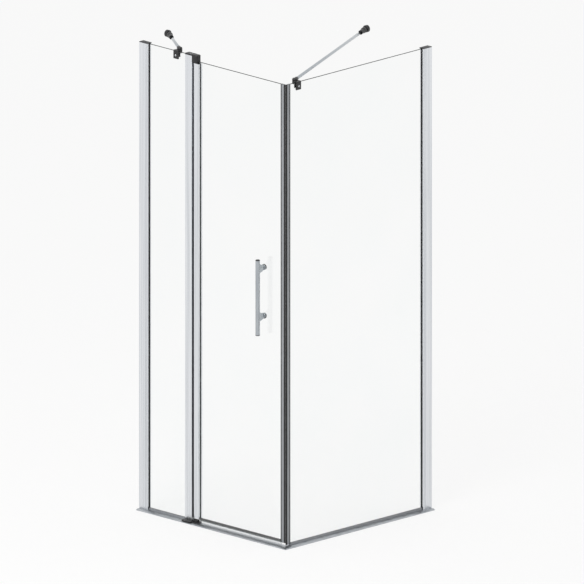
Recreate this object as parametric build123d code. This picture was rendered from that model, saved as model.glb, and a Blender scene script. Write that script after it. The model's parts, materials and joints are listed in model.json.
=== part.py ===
"""Corner shower enclosure with a hinged door, millimetres, +Z up.

The front run lies along X and faces -Y: a wall profile, a narrow fixed glass panel, a hinge
post and the hinged glass door. The side run lies along Y and faces +X: one fixed glass panel
and a wall profile. The two runs meet at the outer corner, where the door closes on a pair of
magnetic seals. The left wall is the plane at the low X end, the back wall at the high Y end.

Places are given for a run by s, the distance from the outer corner along the run, and n, the
depth inwards from the outer face of that run's glass. Negative n is outside the shower.
"""
import os

from build123d import *

# Driving dimensions of the whole enclosure
wall_to_corner = 844.0
inline_top = 2000.0
side_top = 1978.0
glass_thick = 6.0
sill_height = 6.0
sill_outward = 28.0
sill_inward = 16.0

# Wall profiles and the glazing profiles that slide in them
channel_width = 39.0
channel_outward = 10.0
channel_thick = 26.0
channel_web = 2.0
channel_leg = 1.8
slide_clearance = 0.2
glazing_proud = 10.0
glazing_gap_to_web = 14.0
glazing_slot_depth = 20.0
glazing_glass_depth = 17.0
gasket_thick = 2.0
gasket_proud = 1.5
extrusion_wall = 1.6
wall_hole_radius = 3.0
wall_hole_end = 100.0
wall_hole_inner_pitch = 600.0
cap_thick = 2.5
cap_plug_depth = 8.0
side_screw_radius = 2.0
side_screw_head_radius = 4.0
side_screw_head = 2.2
side_screw_end = 150.0
side_screw_round = 1.0
side_screw_inset = 12.0

# Hinge post, door stile and the pivots between them
post_start = 538.0
post_width = 39.0
post_thick = 24.0
post_outward = 9.0
stile_gap = 5.5
stile_width = 35.5
stile_slot_depth = 12.0
stile_glass_depth = 9.0
profile_wall = 1.8
port_radius = 4.2
screw_port_radius = 2.1
port_offset = 6.8
port_shift = 1.0
seal_groove_depth = 4.0
seal_groove_width = 5.0
pivot_radius = 4.0
pivot_clearance = 0.05
bush_radius = 6.0
bush_fit = 0.05
bush_flange_radius = 8.0
bush_flange = 2.0
bush_length = 20.0
pin_into_door = 24.0
pin_into_bracket = 18.0
running_gap = 0.2
washer_thick = 1.5
pivot_wall = 2.5
top_gap = 1.0
bracket_cap = 6.0
bracket_block = 32.0
bracket_round_radius = 12.5
bracket_inward = 16.5
foot_round_radius = 22.0
foot_outward = 25.0
foot_beyond_post = 6.0
foot_high_height = 15.0
bracket_screw_radius = 2.0
bracket_screw_length = 22.0
bracket_screw_head_radius = 3.8
bracket_screw_head = 2.5
gap_seal_lip = 2.0
gap_seal_clearance = 0.9

# Door glass and its seals
door_glass_bottom = 19.0
door_glass_top = 1979.0
seal_wall = 1.3
seal_width = 27.0
seal_glass_depth = 15.0
magnet_gap = 0.4
magnet_width = 7.0
magnet_thick = 2.5
magnet_clearance = 0.15
magnet_cover = 1.0
drip_wall = 1.2
drip_rise = 11.0
drip_gap = 1.5
fin_thick = 1.2
guard_drop = 5.0

# Fixed glass seals on the threshold
bed_height = 5.0
bed_wall = 1.5
bed_rise = 5.0
seal_end_gap = 0.2

# Handle
handle_s = 127.0
handle_bottom = 889.0
handle_length = 324.0
handle_radius = 9.5
handle_wall = 1.5
handle_stand_off = 35.0
handle_low_fixing = 967.0
handle_fixing_pitch = 209.0
handle_cap_thick = 3.0
handle_cap_plug = 8.0
handle_edge_round = 1.5
moon_radius = 19.0
moon_thick = 13.0
rosette_radius = 13.0
rosette_thick = 4.0
handle_washer = 1.0
washer_inset = 1.0
handle_hole_radius = 6.0
handle_screw_radius = 3.0
handle_screw_depth = 13.0
handle_knob_radius = 11.0
handle_knob_thick = 4.0
handle_seat = 0.05
stem_radius = 7.0

# Stabiliser bars
bar_radius = 6.25
bar_wall = 1.0
bar_above_glass = 5.5
short_bar_s = 634.5
short_bar_wall_n = 152.0
long_bar_s = 72.0
long_bar_wall_n = 366.0
clamp_width = 28.0
clamp_jaw = 5.0
clamp_drop = 32.0
clamp_inner_drop = 24.0
clamp_bridge = 3.0
clamp_pad = 1.0
clamp_screw_radius = 3.0
clamp_screw_head_radius = 4.2
clamp_screw_head = 2.0
clamp_screw_drop = 17.0
clamp_round = 1.5
knuckle_inward = 18.0
knuckle_radius = 11.0
knuckle_below = 3.0
knuckle_height = 17.0
knuckle_pocket_gap = 0.3
lug_thick = 8.0
barrel_radius = 8.5
barrel_reach = 22.0
tube_seat_depth = 10.0
tube_fit = 0.1
knuckle_screw_radius = 2.5
knuckle_screw_head_radius = 4.5
knuckle_screw_head = 3.0
knuckle_screw_bite = 7.0
ball_radius = 11.0
ball_from_wall = 12.0
ball_fit = 0.1
cup_radius = 15.0
cup_height = 14.0
neck_radius = 6.0
neck_reach = 16.0
sleeve_radius = 9.5
sleeve_reach = 60.0
flange_hole_radius = 2.75

# Threshold
sill_skin = 1.4
sill_edge = 1.5
sill_bevel = 8.0
sill_inner_bevel = 2.0
key_leg = 60.0
key_fit = 0.15

# How far a cutting shape runs past the face it cuts
past = 1.0

# Worked-out places
FRONT = "front"
SIDE = "side"
handle_reach = handle_stand_off + handle_radius
side_x = (wall_to_corner - sill_outward) / 2
front_y = (handle_reach - wall_to_corner) / 2
glass_mid = glass_thick / 2
jaw_low = -gasket_thick
jaw_high = glass_thick + gasket_thick
channel_start = wall_to_corner - channel_width
glazing_start = channel_start - glazing_proud
glazing_end = wall_to_corner - channel_web - glazing_gap_to_web
post_end = post_start + post_width
post_inward = post_thick - post_outward
stile_end = post_start - stile_gap
stile_start = stile_end - stile_width
stile_round = post_thick / 2
pivot_s = stile_end - stile_round
pivot_n = post_inward - stile_round
bracket_top = inline_top + bracket_cap
block_bottom = bracket_top - bracket_block
fixed_glass_bottom = sill_height + bed_height
foot_low_top = fixed_glass_bottom
foot_top = sill_height + foot_high_height
pivot_hole_bottom = foot_top - foot_high_height + pivot_wall
stile_bottom_end = foot_top + washer_thick + running_gap
stile_bottom = stile_bottom_end + bush_flange
stile_top_end = block_bottom - top_gap
stile_top = stile_top_end - bush_flange
bed_seal_start = post_end + foot_beyond_post + seal_end_gap
port_s = (post_start + post_end - stile_slot_depth) / 2 - port_shift
ports = [glass_mid - port_offset, glass_mid + port_offset]
bed_end = glazing_start - gasket_proud - seal_end_gap
handle_fixings = [handle_low_fixing, handle_low_fixing + handle_fixing_pitch]

parts = {}


def plan(run, s, n):
    """Row X and Y of the point s along a run from the corner and n inwards."""
    if run == FRONT:
        return side_x - s, front_y + n
    return side_x - n, front_y + s


def point(run, s, n, z):
    """Row position of a point on a run."""
    x, y = plan(run, s, n)
    return Vector(x, y, z)


def prism(run, corners, z0, z1):
    """Upright prism over a plan outline of (s, n) corners."""
    outline = Polyline(*[plan(run, s, n) for s, n in corners], close=True)
    return Pos(0, 0, z0) * extrude(make_face(outline), z1 - z0, dir=(0, 0, 1))


def slab(run, s0, s1, n0, n1, z0, z1):
    """Upright block between two distances, two depths and two heights."""
    return prism(run, [(s0, n0), (s1, n0), (s1, n1), (s0, n1)], z0, z1)


def rail(run, section, s0, s1):
    """Bar along a run with a section of (n, z) corners."""
    start = point(run, s0, 0, 0)
    along = point(run, s1, 0, 0) - start
    outline = Polyline(*[point(run, s0, n, z) for n, z in section], close=True)
    return extrude(make_face(outline), along.length, dir=along.normalized())


def rod(run, s, n, radius, z0, z1):
    """Upright round rod."""
    return rod_between(point(run, s, n, z0), point(run, s, n, z1), radius)


def rod_between(start, end, radius):
    """Round rod from one point to another."""
    base = Plane(origin=start, z_dir=end - start)
    return base * Cylinder(radius, (end - start).length, align=(Align.CENTER, Align.CENTER, Align.MIN))


def rounded(shape, axis, radius):
    """The shape with its outer edges along an axis rounded."""
    return fillet(shape.edges().filter_by(axis), radius)


def add(name, *solids):
    """Keep one named sub-part, as one solid or a group of separate solids."""
    pieces = [solid for shape in solids for solid in shape.solids()]
    parts[name] = pieces[0] if len(pieces) == 1 else Compound(children=pieces)


def wall_holes(height):
    """Heights of the four wall screws in a profile, an outer pair and an inner pair."""
    middle = (sill_height + height) / 2
    outer = (height - sill_height) / 2 - wall_hole_end
    inner = wall_hole_inner_pitch / 2
    return [middle - outer, middle - inner, middle + inner, middle + outer]


def side_screw_heights(height):
    """Heights of the three screws that fix a glazing profile in its wall profile."""
    low = sill_height + side_screw_end
    high = height - side_screw_end
    return [low, (low + high) / 2, high]


def wall_profile(run, height):
    """Channel screwed to the wall, open towards the glass."""
    n0 = -channel_outward
    n1 = n0 + channel_thick
    body = slab(run, channel_start, wall_to_corner, n0, n1, sill_height, height)
    body = rounded(body, Axis.Z, extrusion_wall / 2)
    web = wall_to_corner - channel_web
    body -= slab(run, channel_start - past, web, n0 + channel_leg, n1 - channel_leg, 0, height + past)
    for z in wall_holes(height):
        hole_start = point(run, web - past, glass_mid, z)
        body -= rod_between(hole_start, point(run, wall_to_corner + past, glass_mid, z), wall_hole_radius)
    for z in side_screw_heights(height):
        s = channel_start + side_screw_inset
        start = point(run, s, n1 + past, z)
        body -= rod_between(start, point(run, s, n1 - channel_leg - past, z), side_screw_radius + tube_fit)
    return body


def glazing_profile(run, height):
    """Inner profile that grips the glass and slides in the wall profile."""
    n0 = -channel_outward + channel_leg + slide_clearance
    n1 = channel_thick - channel_outward - channel_leg - slide_clearance
    slot_end = glazing_start + glazing_slot_depth
    body = slab(run, glazing_start, glazing_end, n0, n1, sill_height, height)
    body = rounded(body, Axis.Z, extrusion_wall / 2)
    body -= slab(run, glazing_start - past, slot_end, jaw_low, jaw_high, 0, height + past)
    pocket_start = glazing_start + extrusion_wall
    pocket_end = slot_end
    hollows = [
        (pocket_start, pocket_end, n0 + extrusion_wall, jaw_low - extrusion_wall),
        (pocket_start, pocket_end, jaw_high + extrusion_wall, n1 - extrusion_wall),
        (slot_end + extrusion_wall, glazing_end - extrusion_wall, n0 + extrusion_wall, n1 - extrusion_wall),
    ]
    for s0, s1, low, high in hollows:
        body -= slab(run, s0, s1, low, high, 0, height + past)
    for z in side_screw_heights(height):
        s = channel_start + side_screw_inset
        start = point(run, s, n1 + past, z)
        body -= rod_between(start, point(run, s, jaw_high, z), side_screw_radius)
    return body


def gasket_pair(run, s0, s1, z0, z1):
    """Two rubber strips, one on each face of a glass pane in a slot."""
    outer = slab(run, s0, s1, jaw_low, 0, z0, z1)
    inner = slab(run, s0, s1, glass_thick, jaw_high, z0, z1)
    return outer, inner


def profile_cap(run, height):
    """Plastic cap over the top of a wall profile, with a plug inside the channel."""
    n0 = -channel_outward
    n1 = n0 + channel_thick
    plate = slab(run, glazing_start, wall_to_corner, n0, n1, height, height + cap_thick)
    plate = rounded(plate, Axis.Z, extrusion_wall)
    plug = slab(
        run,
        glazing_end + running_gap,
        wall_to_corner - channel_web - running_gap,
        n0 + channel_leg + running_gap,
        n1 - channel_leg - running_gap,
        height - cap_plug_depth,
        height,
    )
    return plate + plug


def side_screws(run, height):
    """Pan-head screws through the inner leg of a wall profile."""
    screws = []
    face = channel_thick - channel_outward
    s = channel_start + side_screw_inset
    for z in side_screw_heights(height):
        head = rod_between(
            point(run, s, face, z), point(run, s, face + side_screw_head, z), side_screw_head_radius
        )
        across = Axis.Y if run == FRONT else Axis.X
        outer_edge = head.edges().group_by(across)[-1 if run == FRONT else 0]
        head = fillet(outer_edge, side_screw_round)
        shank_end = point(run, s, jaw_high + extrusion_wall / 2, z)
        screws.append(head + rod_between(point(run, s, face, z), shank_end, side_screw_radius))
    return screws


def bed_seal(run, s0, s1):
    """U-shaped strip under the bottom edge of a fixed pane, on the threshold."""
    n0 = -bed_wall
    n1 = glass_thick + bed_wall
    body = slab(run, s0, s1, n0, n1, sill_height, fixed_glass_bottom + bed_rise)
    return body - slab(run, s0 - past, s1 + past, 0, glass_thick, fixed_glass_bottom, inline_top)


def make_wall_side(run, label, height, glass_start, bed_start):
    """Wall profile, glazing profile, gaskets, screws and cap at the wall end of a run."""
    add(f"wall_profile_{label}", wall_profile(run, height))
    add(f"glazing_profile_{label}", glazing_profile(run, height))
    add(f"wall_profile_cap_{label}", profile_cap(run, height))
    add(f"profile_screws_{label}", *side_screws(run, height))
    glass_end = glazing_start + glazing_glass_depth
    gasket_start = glazing_start - gasket_proud
    add(f"glazing_gaskets_{label}", *gasket_pair(run, gasket_start, glass_end, fixed_glass_bottom, height))
    pane = slab(run, glass_start, glass_end, 0, glass_thick, fixed_glass_bottom, height)
    return pane, bed_seal(run, bed_start, bed_end)


def hinge_post():
    """Extruded post with a glass slot on one side and a seal groove on the other."""
    z0, z1 = foot_low_top, inline_top
    body = slab(FRONT, post_start, post_end, -post_outward, post_inward, z0, z1)
    body = rounded(body, Axis.Z, extrusion_wall)
    slot_start = post_end - stile_slot_depth
    body -= slab(FRONT, slot_start, post_end + past, jaw_low, jaw_high, 0, z1 + past)
    groove_end = post_start + seal_groove_depth
    groove_low = glass_mid - seal_groove_width / 2
    groove_high = glass_mid + seal_groove_width / 2
    body -= slab(FRONT, post_start - past, groove_end, groove_low, groove_high, 0, z1 + past)
    low = -post_outward + profile_wall
    high = post_inward - profile_wall
    hollow_start = groove_end + profile_wall
    hollow_end = slot_start - profile_wall
    hollow = slab(FRONT, hollow_start, hollow_end, low, high, z0 - past, z1 + past)
    for n in ports:
        hollow -= rod(FRONT, port_s, n, port_radius, z0 - 2 * past, z1 + 2 * past)
    body -= hollow
    for n in ports:
        body -= rod(FRONT, port_s, n, screw_port_radius, z0 - past, z1 + past)
    for n0, n1 in [(low, jaw_low - profile_wall), (jaw_high + profile_wall, high)]:
        body -= slab(FRONT, slot_start, post_end - profile_wall, n0, n1, 0, z1 + past)
    return body


def stile_outline(inset, s0, z0, z1):
    """Plan outline of the stile, straight towards the glass and round at the pivot."""
    straight = slab(FRONT, s0, pivot_s, -post_outward + inset, post_inward - inset, z0, z1)
    return straight + rod(FRONT, pivot_s, pivot_n, stile_round - inset, z0, z1)


def door_stile():
    """Extruded stile with a glass slot and a round port for the pivot bushes."""
    z0, z1 = stile_bottom, stile_top
    body = stile_outline(0, stile_start, z0, z1)
    slot_end = stile_start + stile_slot_depth
    hollow = stile_outline(profile_wall, slot_end + profile_wall, z0 - past, z1 + past)
    hollow -= rod(FRONT, pivot_s, pivot_n, bush_flange_radius, z0 - 2 * past, z1 + 2 * past)
    web_low = pivot_n - profile_wall / 2
    hollow -= slab(FRONT, slot_end, stile_end, web_low, web_low + profile_wall, z0 - 2 * past, z1 + 2 * past)
    body -= hollow
    body -= rod(FRONT, pivot_s, pivot_n, bush_radius, z0 - past, z1 + past)
    body -= slab(FRONT, stile_start - past, slot_end, jaw_low, jaw_high, z0 - past, z1 + past)
    low = -post_outward + profile_wall
    high = post_inward - profile_wall
    for n0, n1 in [(low, jaw_low - profile_wall), (jaw_high + profile_wall, high)]:
        body -= slab(FRONT, stile_start + profile_wall, slot_end, n0, n1, z0 - past, z1 + past)
    return body


def stile_plug(z0, z1):
    """Plastic plate that closes an end of the stile round the bush flange."""
    glass_edge = stile_start + stile_glass_depth
    plate = stile_outline(running_gap, glass_edge + running_gap * 2, z0, z1)
    return plate - rod(FRONT, pivot_s, pivot_n, bush_flange_radius + bush_fit, z0 - past, z1 + past)


def pivot_bush(end, inner):
    """Flanged nylon bush: the flange starts at end and the sleeve runs towards inner."""
    step = 1 if inner > end else -1
    flange = rod(FRONT, pivot_s, pivot_n, bush_flange_radius, end, end + step * bush_flange)
    sleeve = rod(FRONT, pivot_s, pivot_n, bush_radius - bush_fit, end, end + step * bush_length)
    hole_radius = pivot_radius + pivot_clearance
    hole = rod(FRONT, pivot_s, pivot_n, hole_radius, end - step, inner + step * bush_length)
    return flange + sleeve - hole


def bracket_screws(head_z, step):
    """Two screws into the ports of the hinge post; step is the way the shanks run."""
    screws = []
    for n in ports:
        head = rod(FRONT, port_s, n, bracket_screw_head_radius, head_z, head_z + step * bracket_screw_head)
        shank = rod(FRONT, port_s, n, bracket_screw_radius, head_z, head_z + step * bracket_screw_length)
        screws.append(head + shank)
    return screws


def bracket_screw_holes(head_z, step):
    """Clearance for the bracket screws, open on the head side."""
    cut = []
    for n in ports:
        head_radius = bracket_screw_head_radius + running_gap
        cut.append(rod(FRONT, port_s, n, head_radius, head_z - step, head_z + step * bracket_screw_head))
        shank_end = head_z + step * bracket_screw_length
        cut.append(rod(FRONT, port_s, n, bracket_screw_radius + running_gap, head_z, shank_end))
    return cut


def top_bracket():
    """Cap over the post that reaches over the stile as a block round the pivot."""
    cap = slab(FRONT, pivot_s, post_end, -post_outward, post_inward, inline_top, bracket_top)
    cap = rounded(cap, Axis.Z, extrusion_wall)
    block_end = post_start - top_gap
    outer = pivot_n - bracket_round_radius
    block = slab(FRONT, pivot_s, block_end, outer, bracket_inward, block_bottom, bracket_top)
    block += slab(
        FRONT, pivot_s - bracket_round_radius, pivot_s, pivot_n, bracket_inward, block_bottom, bracket_top
    )
    block += rod(FRONT, pivot_s, pivot_n, bracket_round_radius, block_bottom, bracket_top)
    body = cap + block
    body -= rod(FRONT, pivot_s, pivot_n, pivot_radius, block_bottom - past, block_bottom + pin_into_bracket)
    for cut in bracket_screw_holes(bracket_top - running_gap, -1):
        body -= cut
    return body


def bottom_bracket():
    """Foot on the threshold under the post and the stile."""
    low_end = post_end + foot_beyond_post
    low = slab(FRONT, pivot_s + stile_round, low_end, -foot_outward, post_inward, sill_height, foot_low_top)
    low = rounded(low, Axis.Z, extrusion_wall * 2)
    disc = rod(FRONT, pivot_s, pivot_n, foot_round_radius, sill_height, foot_low_top)
    disc_inner = post_inward + foot_round_radius
    disc -= slab(FRONT, stile_start - foot_round_radius, post_end, post_inward, disc_inner, 0, foot_top)
    bridge = slab(FRONT, pivot_s, post_start, pivot_n - stile_round, post_inward, sill_height, foot_low_top)
    high = rod(FRONT, pivot_s, pivot_n, stile_round, sill_height, foot_top)
    body = low + disc + bridge + high
    body -= rod(FRONT, pivot_s, pivot_n, pivot_radius, pivot_hole_bottom, foot_top + past)
    for cut in bracket_screw_holes(sill_height + running_gap, 1):
        body -= cut
    return body


def gap_seal():
    """Strip in the groove of the post, with a lip that nearly reaches the stile."""
    low = glass_mid - seal_groove_width / 2 + running_gap / 2
    high = glass_mid + seal_groove_width / 2 - running_gap / 2
    root_end = post_start + seal_groove_depth - running_gap
    root = slab(FRONT, post_start, root_end, low, high, stile_bottom, stile_top)
    lip_low = glass_mid - gap_seal_lip / 2
    lip_high = glass_mid + gap_seal_lip / 2
    lip = slab(FRONT, stile_end + gap_seal_clearance, post_start, lip_low, lip_high, stile_bottom, stile_top)
    return root + lip


def magnet_seal(run, z0, z1):
    """Corner seal: a channel on the glass edge and a chamber with a face at 45 degrees."""
    low = -seal_wall
    high = glass_thick + seal_wall
    edge = magnet_gap / 2 * 2 ** 0.5
    outline = [(low + edge, low), (seal_width, low), (seal_width, high), (high + edge, high)]
    body = prism(run, outline, z0, z1)
    body -= slab(run, seal_width - seal_glass_depth, seal_width + past, 0, glass_thick, z0 - past, z1 + past)
    return body - magnet_block(run, magnet_clearance, z0 - past, z1 + past)


def magnet_block(run, grow, z0, z1):
    """Magnetic strip just behind the 45 degree face of a corner seal."""
    slope = 0.5 ** 0.5
    inset = magnet_gap / 2 + magnet_cover + magnet_thick / 2
    centre_s = glass_mid + inset * slope
    centre_n = glass_mid - inset * slope
    half_long = magnet_width / 2 + grow
    half_thick = magnet_thick / 2 + grow
    corners = []
    for a, b in [(-1, -1), (1, -1), (1, 1), (-1, 1)]:
        along = a * half_long * slope
        across = b * half_thick * slope
        corners.append((centre_s + along + across, centre_n + along - across))
    return prism(run, corners, z0, z1)


def drip_seal(s0, s1):
    """Strip on the bottom edge of the door glass with a fin down to the threshold."""
    base = door_glass_bottom - drip_wall
    tip = sill_height + drip_gap
    low = -drip_wall
    high = glass_thick + drip_wall
    body = slab(FRONT, s0, s1, low, high, base, door_glass_bottom + drip_rise)
    body -= slab(FRONT, s0 - past, s1 + past, 0, glass_thick, door_glass_bottom, side_top)
    tip_guard = base - guard_drop
    drain = [(high, base), (high - fin_thick, base), (glass_mid, tip), (glass_mid + fin_thick, tip)]
    guard = [(low, base), (low + fin_thick, base), (low, tip_guard), (low - fin_thick, tip_guard)]
    return body + rail(FRONT, drain, s0, s1) + rail(FRONT, guard, s0, s1)


def handle_bracket(z):
    """Half-moon bracket from a rosette on the glass to the back of the handle bar."""
    bar_n = -handle_stand_off
    half = moon_thick / 2
    moon_start = point(FRONT, handle_s - half, bar_n, z)
    moon_end = point(FRONT, handle_s + half, bar_n, z)
    moon = rod_between(moon_start, moon_end, moon_radius)
    low = z - moon_radius - past
    high = z + moon_radius + past
    moon &= slab(FRONT, handle_s - half - past, handle_s + half + past, bar_n, 0, low, high)
    foot = -handle_washer
    stem = rod_between(point(FRONT, handle_s, bar_n, z), point(FRONT, handle_s, foot, z), stem_radius)
    rosette = rod_between(
        point(FRONT, handle_s, foot - rosette_thick, z), point(FRONT, handle_s, foot, z), rosette_radius
    )
    rosette = fillet(rosette.edges().group_by(Axis.Y)[0], handle_edge_round)
    body = moon + stem + rosette
    seat_radius = handle_radius + handle_seat
    body -= rod(FRONT, handle_s, bar_n, seat_radius, z - 2 * moon_radius, z + 2 * moon_radius)
    hole_end = point(FRONT, handle_s, foot - handle_screw_depth - running_gap, z)
    return body - rod_between(point(FRONT, handle_s, past, z), hole_end, handle_screw_radius + handle_seat)


def handle_bar():
    """Round tube of the handle."""
    top = handle_bottom + handle_length
    z0 = handle_bottom + handle_cap_thick
    z1 = top - handle_cap_thick
    body = rod(FRONT, handle_s, -handle_stand_off, handle_radius, z0, z1)
    return body - rod(FRONT, handle_s, -handle_stand_off, handle_radius - handle_wall, z0 - past, z1 + past)


def handle_cap(outer, inner):
    """End cap of the handle bar with a plug in the tube."""
    step = 1 if inner > outer else -1
    n = -handle_stand_off
    disc = rod(FRONT, handle_s, n, handle_radius, outer, outer + step * handle_cap_thick)
    disc = fillet(disc.edges().group_by(Axis.Z)[0 if step > 0 else -1], handle_edge_round)
    plug_radius = handle_radius - handle_wall - handle_seat
    plug_end = outer + step * (handle_cap_thick + handle_cap_plug)
    return disc + rod(FRONT, handle_s, n, plug_radius, outer + step * handle_edge_round, plug_end)


def handle_washers(z):
    """Clear washers on both faces of the glass, with collars in the glass hole."""
    washers = []
    collar = glass_mid - running_gap
    for face, out in [(0, -1), (glass_thick, 1)]:
        rim = point(FRONT, handle_s, face + out * handle_washer, z)
        seat = point(FRONT, handle_s, face, z)
        body = rod_between(seat, rim, rosette_radius - washer_inset)
        collar_end = point(FRONT, handle_s, face - out * collar, z)
        body += rod_between(seat, collar_end, handle_hole_radius - handle_seat)
        hole_start = point(FRONT, handle_s, -handle_washer - past, z)
        hole_end = point(FRONT, handle_s, glass_thick + handle_washer + past, z)
        washers.append(body - rod_between(hole_start, hole_end, handle_screw_radius + running_gap))
    return washers


def handle_screw(z):
    """Cover knob and stud that pull a bracket against the glass from inside."""
    face = glass_thick + handle_washer
    start = point(FRONT, handle_s, face, z)
    knob = rod_between(start, point(FRONT, handle_s, face + handle_knob_thick, z), handle_knob_radius)
    knob = fillet(knob.edges().group_by(Axis.Y)[-1], handle_edge_round)
    stud_end = point(FRONT, handle_s, -handle_washer - handle_screw_depth, z)
    return knob + rod_between(start, stud_end, handle_screw_radius)


def bar_clamp(run, s, top):
    """U-shaped block over the top edge of the glass with a lug for the bar's knuckle."""
    half = clamp_width / 2
    outer_jaw = -clamp_pad - clamp_jaw
    inner_jaw = glass_thick + clamp_pad + clamp_jaw
    bridge_top = top + clamp_pad + clamp_bridge
    body = slab(run, s - half, s + half, outer_jaw, glass_mid, top - clamp_drop, bridge_top)
    body += slab(run, s - half, s + half, glass_mid, inner_jaw, top - clamp_inner_drop, bridge_top)
    body = rounded(body, Axis.Z, clamp_round)
    seat = top - knuckle_below
    lug = rod(run, s, knuckle_inward, knuckle_radius, seat - lug_thick, seat)
    left, right = s - knuckle_radius, s + knuckle_radius
    lug += slab(run, left, right, inner_jaw - past, knuckle_inward, seat - lug_thick, seat)
    body += lug
    slot_floor = top - clamp_drop - past
    slot_top = top + clamp_pad
    body -= slab(
        run, s - half - past, s + half + past, -clamp_pad, glass_thick + clamp_pad, slot_floor, slot_top
    )
    body -= rod(run, s, knuckle_inward, knuckle_radius + knuckle_pocket_gap, seat, bridge_top + past)
    hole_radius = knuckle_screw_radius + tube_fit
    body -= rod(run, s, knuckle_inward, hole_radius, seat - lug_thick - past, seat + past)
    screw_z = top - clamp_screw_drop
    start = point(run, s, outer_jaw - past, screw_z)
    return body - rod_between(start, point(run, s, 0, screw_z), clamp_screw_radius + tube_fit)


def clamp_pads(run, s, top):
    """Soft pads between the clamp and the glass, the outer one behind the set screw."""
    half = clamp_width / 2 - clamp_pad
    outer = slab(run, s - half, s + half, -clamp_pad, 0, top - clamp_drop + clamp_pad, top)
    face = glass_thick + clamp_pad
    inner = slab(run, s - half, s + half, glass_thick, face, top - clamp_inner_drop + clamp_pad, top)
    return outer, inner


def clamp_screw(run, s, top):
    """Round-head set screw in the outer jaw of a clamp."""
    z = top - clamp_screw_drop
    jaw_face = -clamp_pad - clamp_jaw
    head_start = point(run, s, jaw_face, z)
    head = rod_between(head_start, point(run, s, jaw_face - clamp_screw_head, z), clamp_screw_head_radius)
    return head + rod_between(head_start, point(run, s, -clamp_pad, z), clamp_screw_radius)


def bar_knuckle(run, s, top, aim):
    """Round head on the clamp's lug with a barrel that takes the end of the bar tube."""
    seat = top - knuckle_below
    head = rod(run, s, knuckle_inward, knuckle_radius, seat, seat + knuckle_height)
    head = fillet(head.edges().group_by(Axis.Z)[-1], clamp_round)
    centre = point(run, s, knuckle_inward, top + bar_above_glass)
    body = head + rod_between(centre, centre + aim * barrel_reach, barrel_radius)
    bore_start = centre + aim * (barrel_reach - tube_seat_depth)
    body -= rod_between(bore_start, centre + aim * (barrel_reach + past), bar_radius + tube_fit)
    return body - rod(run, s, knuckle_inward, knuckle_screw_radius, seat - past, seat + knuckle_screw_bite)


def knuckle_screw(run, s, top):
    """Screw from below through the clamp's lug into the knuckle."""
    seat = top - knuckle_below
    bottom = seat - lug_thick
    head = rod(run, s, knuckle_inward, knuckle_screw_head_radius, bottom - knuckle_screw_head, bottom)
    return head + rod(run, s, knuckle_inward, knuckle_screw_radius, bottom, seat + knuckle_screw_bite)


def wall_socket(ball, aim):
    """Ball, neck and sleeve that hold the wall end of a bar tube; aim points from the wall."""
    neck_start = (ball_radius**2 - neck_radius**2) ** 0.5
    bore_radius = bar_radius + tube_fit
    bore_start = sleeve_reach - tube_seat_depth
    outline = ThreePointArc((0, -ball_radius), (ball_radius, 0), (neck_radius, neck_start))
    outline += Polyline(
        (neck_radius, neck_start),
        (neck_radius, neck_reach),
        (sleeve_radius, neck_reach),
        (sleeve_radius, sleeve_reach),
        (bore_radius, sleeve_reach),
        (bore_radius, bore_start),
        (0, bore_start),
        (0, -ball_radius),
    )
    turned = revolve(Plane.XZ * make_face(outline), Axis.Z)
    return Plane(origin=ball, z_dir=aim) * turned


def wall_flange(run, ball):
    """Round cup screwed to the wall that holds the ball of a bar."""
    inward = Vector(1, 0, 0) if run == FRONT else Vector(0, -1, 0)
    base = ball - inward * ball_from_wall
    cup = rod_between(base, base + inward * cup_height, cup_radius)
    cup -= Pos(*ball) * Sphere(ball_radius + ball_fit)
    return cup - rod_between(base - inward * past, ball, flange_hole_radius)


def stabiliser_bar(run, label, s, top, wall_n):
    """Clamp, knuckle, tube and wall fitting of one bar across the corner of two walls."""
    z = top + bar_above_glass
    centre = point(run, s, knuckle_inward, z)
    ball = point(run, wall_to_corner - ball_from_wall, wall_n, z)
    aim = (ball - centre).normalized()
    add(f"{label}_bar_clamp", bar_clamp(run, s, top))
    add(f"{label}_bar_clamp_pads", *clamp_pads(run, s, top))
    add(f"{label}_bar_clamp_screw", clamp_screw(run, s, top))
    add(f"{label}_bar_knuckle", bar_knuckle(run, s, top, aim))
    add(f"{label}_bar_knuckle_screw", knuckle_screw(run, s, top))
    start = centre + aim * (barrel_reach - tube_seat_depth)
    end = ball - aim * (sleeve_reach - tube_seat_depth)
    tube = rod_between(start, end, bar_radius)
    tube -= rod_between(start - aim * past, end + aim * past, bar_radius - bar_wall)
    add(f"{label}_bar_tube", tube)
    add(f"{label}_bar_wall_socket", wall_socket(ball, aim * -1))
    add(f"{label}_bar_wall_flange", wall_flange(run, ball))


def threshold(run):
    """Low hollow strip on the shower tray, mitred at the corner."""
    low = -sill_outward
    high = sill_inward
    section = [
        (low, 0),
        (low, sill_edge),
        (low + sill_bevel, sill_height),
        (high - sill_inner_bevel, sill_height),
        (high, sill_height - sill_inner_bevel),
        (high, 0),
    ]
    reach = wall_to_corner
    body = rail(run, section, low - past, reach)
    body -= rail(run, chamber(low + sill_bevel, -sill_skin), low - 2 * past, reach + past)
    body -= rail(run, chamber(0, high - 2 * sill_skin), low - 2 * past, reach + past)
    mitred = [(low, low), (reach, low), (reach, high), (high, high)]
    return body & prism(run, mitred, -past, sill_height + past)


def chamber(low, high):
    """Hollow of the threshold between two depths."""
    top = sill_height - sill_skin
    return [(low, sill_skin), (high, sill_skin), (high, top), (low, top)]


def corner_key():
    """L-shaped key in the outer chambers of the two threshold strips."""
    low = -sill_outward + sill_bevel + key_fit
    high = -sill_skin - key_fit
    z0 = sill_skin + key_fit
    z1 = sill_height - sill_skin - key_fit
    return slab(FRONT, low, key_leg, low, high, z0, z1) + slab(SIDE, low, key_leg, low, high, z0, z1)


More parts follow.
